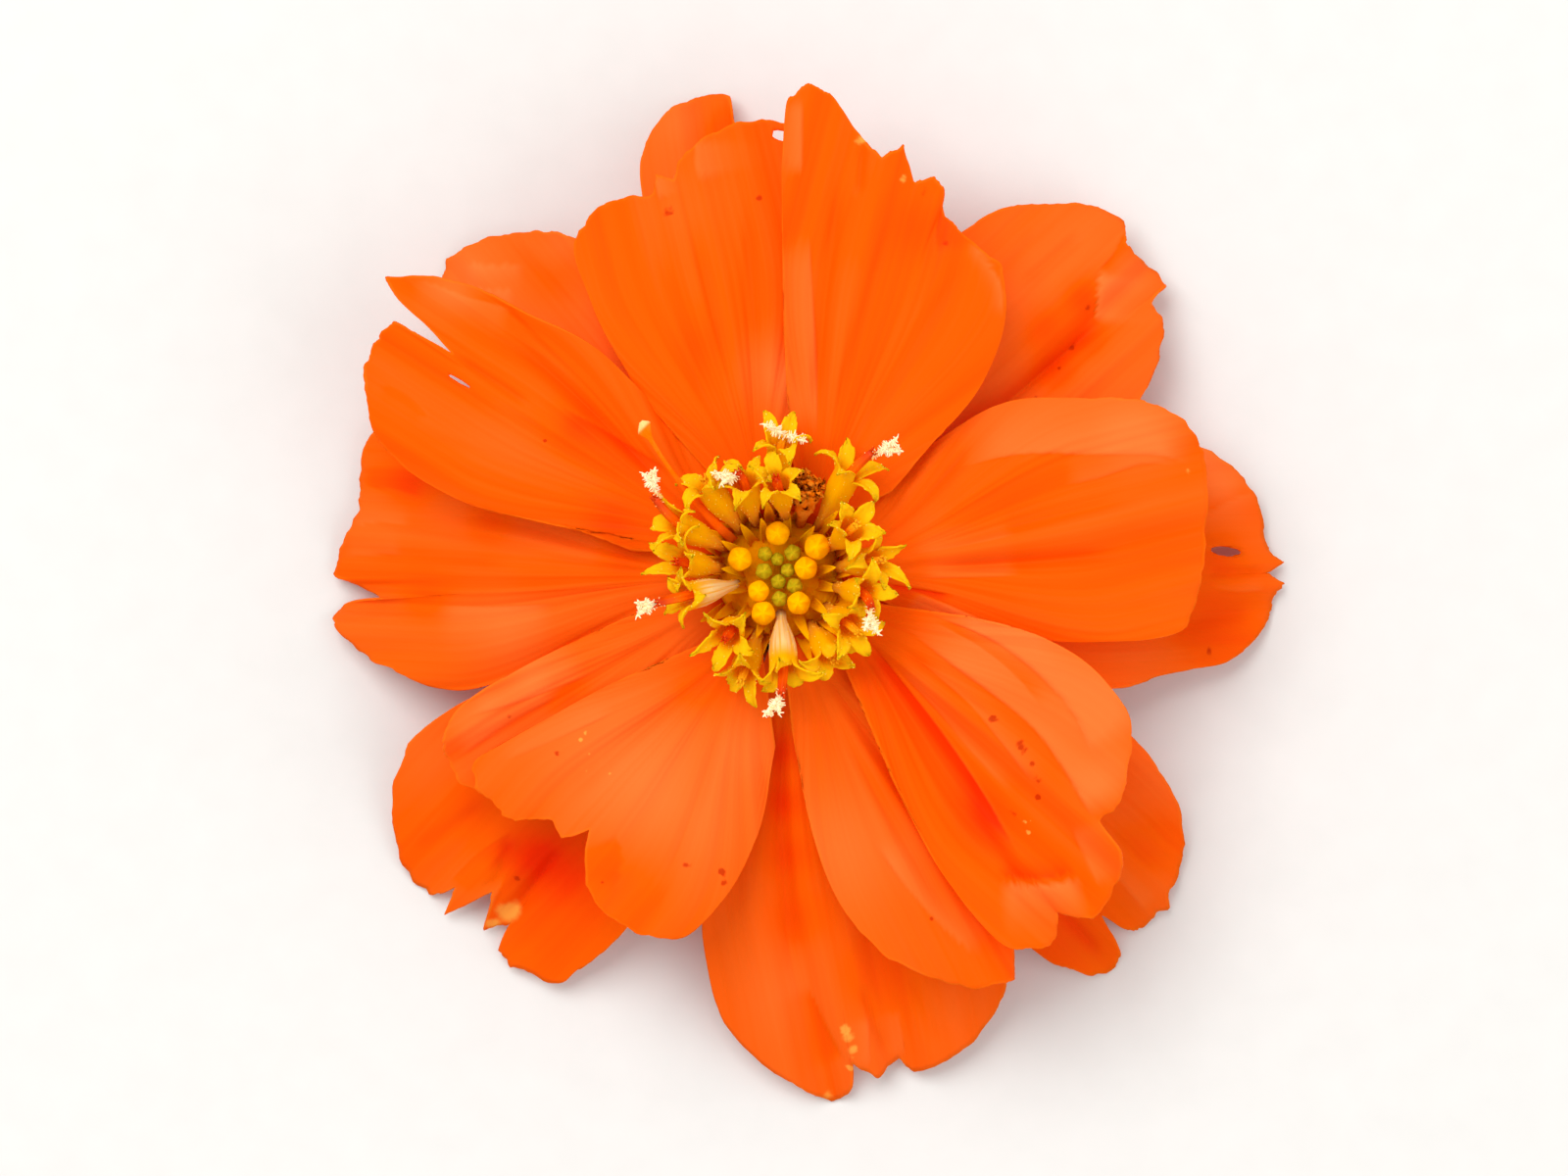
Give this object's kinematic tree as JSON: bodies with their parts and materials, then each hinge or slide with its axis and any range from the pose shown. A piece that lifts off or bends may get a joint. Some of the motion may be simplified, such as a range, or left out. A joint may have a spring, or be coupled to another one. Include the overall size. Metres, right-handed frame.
{
  "type": "cosmos flower head",
  "caption": "Semi-double orange cosmos flower head, picked with a short stub of stem and lying face up, with toothed petals, a yellow disc and green bracts.",
  "frame": {"origin": "middle of the flower's outline seen from above, on the surface it lies on", "axes": "+Z out of the flower's face, along its short axis; +Y towards the top of the flower as seen face on; +X to its right"},
  "size_m": [0.0556, 0.0588, 0.0163],
  "materials": {
    "petal_orange": "soft satin petal skin, fine lengthwise veins, deep orange",
    "petal_light": "soft satin petal skin, paler pinkish orange sheen",
    "corolla_yellow": "waxy golden yellow lobes on an orange tube, dark orange anthers, cream stigma",
    "corolla_faded": "withered red-brown",
    "bud_gold": "waxy golden bud",
    "bud_green": "waxy olive-yellow bud",
    "bract_green": "matte green leaf, paler midrib",
    "bract_inner": "thin tan-green scale with darker streaks and a papery edge",
    "stem_green": "ribbed green stem, pale cut end",
    "receptacle": "matte orange-brown",
    "chaff": "translucent papery scale with a cream tip"
  },
  "bodies": {
    "root": {"stem": "stem_green", "receptacle": "receptacle", "inner_bract_cup": "bract_inner", "outer_bract_1": "bract_green", "outer_bract_2": "bract_green", "outer_bract_3": "bract_green", "outer_bract_4": "bract_green", "outer_bract_5": "bract_green", "outer_bract_6": "bract_green", "outer_bract_7": "bract_green", "outer_bract_8": "bract_green", "outer_petal_1": "petal_orange", "outer_petal_2": "petal_orange", "outer_petal_3": "petal_orange", "outer_petal_4": "petal_orange", "outer_petal_5": "petal_orange", "outer_petal_6": "petal_orange", "outer_petal_7": "petal_orange", "outer_petal_8": "petal_orange", "inner_petal_1": "petal_orange", "inner_petal_2": "petal_orange", "inner_petal_3": "petal_orange", "inner_petal_4": "petal_light", "inner_petal_5": "petal_orange", "inner_petal_6": "petal_light", "inner_petal_7": "petal_light", "inner_petal_8": "petal_orange", "disc_floret_1": "corolla_yellow", "disc_floret_2": "corolla_yellow", "disc_floret_3": "corolla_yellow", "disc_floret_4": "corolla_yellow", "disc_floret_5": "corolla_yellow", "disc_floret_6": "corolla_yellow", "disc_floret_7": "corolla_yellow", "disc_floret_8": "corolla_yellow", "disc_floret_9": "corolla_yellow", "disc_floret_10": "corolla_yellow", "disc_floret_11": "corolla_yellow", "disc_floret_12": "corolla_yellow", "disc_floret_13": "corolla_yellow", "disc_floret_14": "corolla_yellow", "disc_floret_15": "corolla_yellow", "disc_floret_16": "corolla_yellow", "faded_floret": "corolla_faded", "disc_bud_1": "bud_gold", "disc_bud_2": "bud_gold", "disc_bud_3": "bud_gold", "disc_bud_4": "bud_gold", "disc_bud_5": "bud_gold", "disc_bud_6": "bud_gold", "disc_bud_7": "bud_gold", "disc_bud_8": "bud_green", "disc_bud_9": "bud_green", "disc_bud_10": "bud_green", "disc_bud_11": "bud_green", "disc_bud_12": "bud_green", "disc_bud_13": "bud_green", "disc_bud_14": "bud_green", "disc_bud_15": "bud_green", "chaff_scale": "chaff"}
  },
  "joints": []
}
